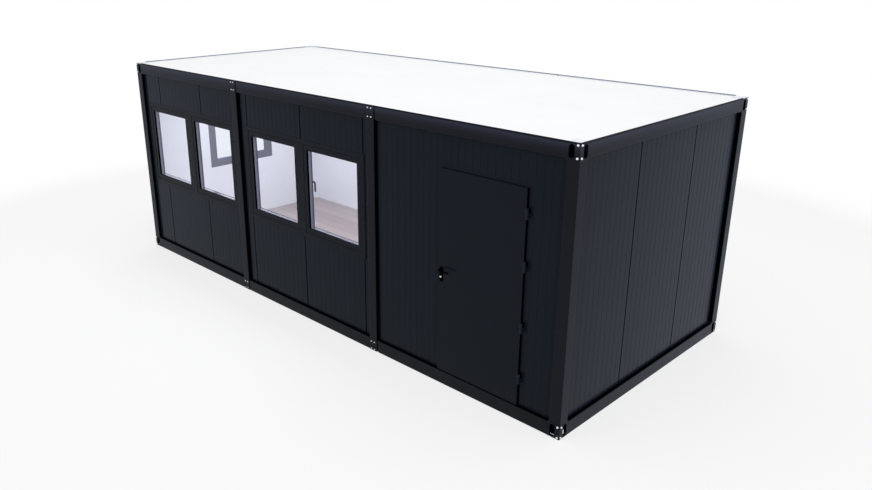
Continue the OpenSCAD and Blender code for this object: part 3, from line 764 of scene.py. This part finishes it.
def window_linings(windows):
    """Gaskets, drain strips, spacer bars, glazing beads and, in the front, the seals of the sashes, with a
    black strip of painted shade beside the last front window.
    """
    gaskets = Shape("window_gaskets")
    drains = Shape("drain_strips")
    spacers = Shape("glazing_spacers")
    beads = Shape("glazing_beads")
    sash_seals = Shape("sash_seals")
    for side, u0, u1, z0, z1 in windows:
        inset = CASING_W + SASH_W
        left, right, foot, head = hole = (u0 + inset, u1 - inset, z0 + inset, z1 - inset)
        for way, edge in ((-1, left), (1, right)):
            gaskets.bar([at(side, u, v, foot) for u, v in bead_strip(way, edge)], UP * (head - foot))
        across = at(side, right, 0, 0) - at(side, left, 0, 0)
        gaskets.bar([at(side, left, v, z) for z, v in bead_strip(1, head)], across)
        gaskets.ring(side, hole, out=0.010, band=0.0106, bevel=0.0005,
                     depth=(GLASS_FRONT - 0.0005, GLASS_FRONT + 0.0075))
        gaskets.ring(side, hole, out=SASH_W + 0.0009, band=0.0018, bevel=0.0002,
                     depth=(SASH_FRONT - STRIP_PROUD, SASH_FRONT + 0.002))
        spacers.ring(side, hole, out=0.010, band=0.0105, bevel=0.0008,
                     depth=(GLASS_FRONT + 0.008, GLASS_BACK - 0.001))
        beads.ring(side, hole, out=0.0115, band=0.0130, bevel=0.0010,
                   depth=(GLASS_BACK + 0.0005, SASH_BACK - 0.0005))
        drains.box(at(side, left, DRAIN_DEPTH[0], foot + DRAIN_Z[0]),
                   at(side, right, DRAIN_DEPTH[1], foot + DRAIN_Z[1]), bevel=0.0003)
        if side == FRONT:
            sash_seals.ring(side, hole, out=0.006, band=0.0065, bevel=0.0010,
                            depth=(SASH_BACK, SASH_BACK + 0.0130))
    # Painted shade: a black strip in the panel beside the last front window's casing
    side, start, _, foot, head = windows[LAST_FRONT_WINDOW - 1]
    gaskets.box(at(side, start - SHADE_STRIP_U[1], SHADE_STRIP_DEPTH[0], foot),
                at(side, start - SHADE_STRIP_U[0], SHADE_STRIP_DEPTH[1], head), bevel=0.0005)
    gaskets.done(BLACK_RUBBER_AND_SHADE)
    drains.done(DRAIN)
    spacers.done(SPACER)
    beads.done(INNER_BEAD)
    sash_seals.done(SASH_SEAL)


def window_handles(windows):
    """Rosette and a bent lever that hangs down, on the room side of each sash."""
    handles = Shape("window_handles")
    bend = [(0.004, 0.0), (0.030, 0.001), (0.045, -0.001), (0.055, -0.008), (0.059, -0.020),
            (0.060, -0.037), (0.060, -0.075), (0.060, -0.112), (0.059, -0.116)]
    inset = CASING_W + SASH_W - HANDLE_TO_HOLE
    for number, (side, u0, u1, _, _) in enumerate(windows, 1):
        u = u0 + inset if number <= LAST_ON_FIRST_JAMB else u1 - inset
        handles.box(at(side, u - ROSETTE_HALF_W, SASH_BACK, ROSETTE_Z[0]),
                    at(side, u + ROSETTE_HALF_W, ROSETTE_BACK, ROSETTE_Z[1]), bevel=0.004)
        handles.tube([at(side, u, SASH_BACK + v, HANDLE_Z + z) for v, z in bend], HANDLE_RADIUS)
    handles.done(HANDLE, smooth=True)


# Floor boards: thickness, half the gap between two, room to the walls, and the least width of a piece
BOARD_T = 0.018
HALF_GAP = 0.0003
WALL_GAP = 0.002
LEAST_BOARD = 0.01


def floor_boards():
    """Floor boards on the deck, in rows along the cabin."""
    boards = Shape("floor_boards")
    half_x = LENGTH / 2 - WALL_BACK - WALL_GAP
    half_y = WIDTH / 2 - WALL_BACK - WALL_GAP
    for row in range(math.floor(-half_y / PLANK_W), math.ceil(half_y / PLANK_W)):
        y0, y1 = max(row * PLANK_W, -half_y), min((row + 1) * PLANK_W, half_y)
        shift = (row * ROW_SHIFT) % 1.0
        first = math.floor(-half_x / PLANK_L + shift)
        for column in range(first, math.ceil(half_x / PLANK_L + shift) + 1):
            x0 = max((column - shift) * PLANK_L, -half_x)
            x1 = min((column + 1 - shift) * PLANK_L, half_x)
            if min(x1 - x0, y1 - y0) > LEAST_BOARD:
                boards.box((x0 + HALF_GAP, y0 + HALF_GAP, DECK + 0.0002),
                           (x1 - HALF_GAP, y1 - HALF_GAP, DECK + BOARD_T), bevel=0.0010)
    boards.done(coats["floor_planks"])


# Door: its leaf and the frame's front, the seal over and beside the leaf, its edge strips of painted shade,
# and the hinges with their pads of painted shade
leaf_low, leaf_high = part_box("door_leaf")
DOOR_FRAME_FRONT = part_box("door_frame")[0].y
SEAL_LAP = 0.010
SEAL_BESIDE = 0.004
SEAL_T = 0.004
EDGE_DEPTH = (leaf_low.y + 0.0012, leaf_low.y + 0.030)
EDGE_T = 0.0010
HINGE_Z = (0.415, 0.906, 1.470, 1.940)
HINGE_PAD_X = (leaf_high.x + 0.0055, leaf_high.x + 0.0280)
HINGE_PAD_Y = (DOOR_FRAME_FRONT + 0.0005, DOOR_FRAME_FRONT - 0.0012)
HALF_HINGE = 0.046

# Key hole: the slot's half width, foot and head from the middle, the head's radius, and the depths
KEY_HALF_W = 0.0012
KEY_FOOT = 0.005
KEY_HEAD = 0.003
KEY_RADIUS = 0.0022
KEY_PROUD = 0.0006
KEY_SUNK = 0.001


def door_seal():
    """Rubber seal in the frame, behind the leaf's edges."""
    seal = Shape("door_seal")
    near = leaf_high.y + 0.0005
    far = near + SEAL_T
    left, right = leaf_low.x + SEAL_LAP, leaf_high.x - SEAL_LAP
    top = leaf_high.z + SEAL_BESIDE
    for x0, x1 in ((leaf_low.x - SEAL_BESIDE, left), (right, leaf_high.x + SEAL_BESIDE)):
        seal.box((x0, near, leaf_low.z), (x1, far, top), bevel=0.001)
    seal.box((left, near, leaf_high.z - SEAL_LAP), (right, far, top), bevel=0.001)
    seal.done(BLACK_RUBBER_AND_SHADE)


def leaf_strips():
    """Thin strips of painted shade on the leaf's edges: black on its upright edges, a dark tone on its top
    and foot.
    """
    near, far = EDGE_DEPTH
    edges = Shape("leaf_edge_strips")
    for x, way in ((leaf_low.x, -1), (leaf_high.x, 1)):
        edges.box((x, near, leaf_low.z), (x + way * EDGE_T, far, leaf_high.z), bevel=0.0003)
    edges.done(BLACK_RUBBER_AND_SHADE, body="door")
    ends = Shape("leaf_end_strips")
    for z, way in ((leaf_low.z, -1), (leaf_high.z, 1)):
        ends.box((leaf_low.x, near, z), (leaf_high.x, far, z + way * EDGE_T), bevel=0.0003)
    ends.done(TOP_EDGE_SHADE, body="door")


def hinge_shade_pads():
    """Black pads on the door's frame behind the hinges, which paint the shade there."""
    pads = Shape("hinge_shade_pads")
    (x0, x1), (y0, y1) = HINGE_PAD_X, HINGE_PAD_Y
    for z in HINGE_Z:
        pads.box((x0, y0, z - HALF_HINGE), (x1, y1, z + HALF_HINGE), bevel=0.0004)
    pads.done(BLACK_RUBBER_AND_SHADE)


def key_hole():
    """Black key hole shape on both ends of the cylinder, which paints the shade in the keyway: an upright
    slot with a round head.
    """
    keyway = Shape("key_hole")
    low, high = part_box("door_cylinder")
    middle = (low + high) / 2
    foot, head = middle.z - KEY_FOOT, middle.z + KEY_HEAD
    for y0, y1 in ((low.y - KEY_PROUD, low.y + KEY_SUNK), (high.y - KEY_SUNK, high.y + KEY_PROUD)):
        keyway.box((middle.x - KEY_HALF_W, y0, foot), (middle.x + KEY_HALF_W, y1, head), bevel=0.0003)
        keyway.round((middle.x, y0, head), (0, 1, 0), KEY_RADIUS, y1 - y0, sides=16)
    keyway.done(BLACK_RUBBER_AND_SHADE, body="door")


frame_bolts()
casting_pins()
wall_shade_seals()
roof_edge_trim()
all_windows = window_places()
window_linings(all_windows)
window_handles(all_windows)
floor_boards()
door_seal()
leaf_strips()
hinge_shade_pads()
key_hole()

# Studio: strength of the white world as a light, the floor's reach and drop, and the distances over
# which it fades to white, and how white the camera sees it all over
AMBIENT = 0.6
FLOOR_REACH = 80.0
FLOOR_DROP = 0.0005
FADE = (4.5, 9.0)
SEEN_WHITE = 0.70


def studio_world():
    """White world: at full strength where it is seen, and weaker as a light."""
    world = bpy.data.worlds.new("studio")
    bpy.context.scene.world = world
    world.use_nodes = True
    nodes, links = world.node_tree.nodes, world.node_tree.links
    rays = nodes.new("ShaderNodeLightPath")
    seen = rays.outputs["Is Camera Ray"]
    for name in ("Is Glossy Ray", "Is Transmission Ray"):
        add = nodes.new("ShaderNodeMath")
        add.operation = "ADD"
        add.use_clamp = True
        links.new(seen, add.inputs[0])
        links.new(rays.outputs[name], add.inputs[1])
        seen = add.outputs[0]
    level = nodes.new("ShaderNodeMapRange")
    links.new(seen, level.inputs["Value"])
    level.inputs["To Min"].default_value = AMBIENT
    level.inputs["To Max"].default_value = 1.0
    sky = nodes["Background"]
    sky.inputs["Color"].default_value = (1, 1, 1, 1)
    links.new(level.outputs[0], sky.inputs["Strength"])


def floor_coat():
    """Matt pale floor that keeps the cabin's shadow and fades to plain white around it."""
    p = Paint("studio_floor", Base_Color=(0.93, 0.93, 0.93, 1), Roughness=0.9, Specular_IOR_Level=0.0)
    fade = p.nodes.new("ShaderNodeMapRange")
    fade.interpolation_type = "SMOOTHSTEP"
    p.link(p.vector("LENGTH", p.coord).outputs["Value"], fade.inputs["Value"])
    fade.inputs["From Min"].default_value, fade.inputs["From Max"].default_value = FADE
    rays = p.nodes.new("ShaderNodeLightPath").outputs
    white = p.math("MAXIMUM", fade.outputs[0], p.math("MULTIPLY", rays["Is Camera Ray"], SEEN_WHITE))
    for name in ("Is Glossy Ray", "Is Transmission Ray"):
        white = p.math("MAXIMUM", white, rays[name])
    both = p.nodes.new("ShaderNodeMixShader")
    p.link(white, both.inputs[0])
    p.link(p.shader.outputs[0], both.inputs[1])
    p.link(p.nodes.new("ShaderNodeEmission").outputs[0], both.inputs[2])
    p.link(both.outputs[0], p.nodes["Material Output"].inputs["Surface"])
    return p.mat


def studio_floor():
    """Wide floor just under the cabin."""
    mesh = bpy.data.meshes.new("ground")
    corners = [(x * FLOOR_REACH, y * FLOOR_REACH, 0) for x, y in ((-1, -1), (1, -1), (1, 1), (-1, 1))]
    mesh.from_pydata(corners, [], [(0, 1, 2, 3)])
    mesh.materials.append(floor_coat())
    floor = bpy.data.objects.new("ground", mesh)
    floor.location.z = -FLOOR_DROP
    bpy.context.scene.collection.objects.link(floor)


def lamp(name, where, aim, size, power, shows_in_gloss=True):
    """Rectangular soft lamp at where, facing aim."""
    data = bpy.data.lights.new(name, "AREA")
    data.shape = "RECTANGLE"
    data.size, data.size_y = size
    data.energy = power
    light = bpy.data.objects.new(name, data)
    bpy.context.scene.collection.objects.link(light)
    light.location = where
    light.rotation_mode = "QUATERNION"
    light.rotation_quaternion = (Vector(aim) - Vector(where)).to_track_quat("-Z", "Y")
    light.visible_camera = False
    light.visible_glossy = shows_in_gloss
    light.visible_transmission = False


# Camera, fitted to the corners of the cabin in the photo
CAMERA_AT = Vector((6.67701, -6.51421, 3.90051))
AZIMUTH, ELEVATION, ROLL = (math.radians(a) for a in (45.19246676, 19.54453223, -0.07536761))
SENSOR_W = 36.0
LENS = 32.4548
SHIFT_X, SHIFT_Y = 0.03538, -0.0073
CLIP = (0.05, 400.0)


def photo_camera():
    """Camera at the photo's angle."""
    back = Vector((math.sin(AZIMUTH) * math.cos(ELEVATION),
                   -math.cos(AZIMUTH) * math.cos(ELEVATION),
                   math.sin(ELEVATION)))
    right = Vector((math.cos(AZIMUTH), math.sin(AZIMUTH), 0))
    up = back.cross(right)
    side_axis = math.cos(ROLL) * right + math.sin(ROLL) * up
    up_axis = -math.sin(ROLL) * right + math.cos(ROLL) * up
    camera = bpy.data.objects.new("camera", bpy.data.cameras.new("camera"))
    bpy.context.scene.collection.objects.link(camera)
    turn = Matrix((side_axis, up_axis, back)).transposed().to_4x4()
    camera.matrix_world = Matrix.Translation(CAMERA_AT) @ turn
    camera.data.sensor_width = SENSOR_W
    camera.data.lens = LENS
    camera.data.shift_x, camera.data.shift_y = SHIFT_X, SHIFT_Y
    camera.data.clip_start, camera.data.clip_end = CLIP
    bpy.context.scene.camera = camera


studio_world()
studio_floor()
lamp("overhead", where=(0, 0, 9), aim=(0, 0, 0), size=(16, 12), power=490)
lamp("key", where=(9, -5, 5), aim=(0.5, 0, 1.2), size=(6, 5), power=140)
lamp("room", where=(0, -0.18, 2.42), aim=(0, -0.18, 0), size=(5.8, 1.7), power=102, shows_in_gloss=False)
photo_camera()

bpy.context.scene.view_settings.view_transform = "Standard"
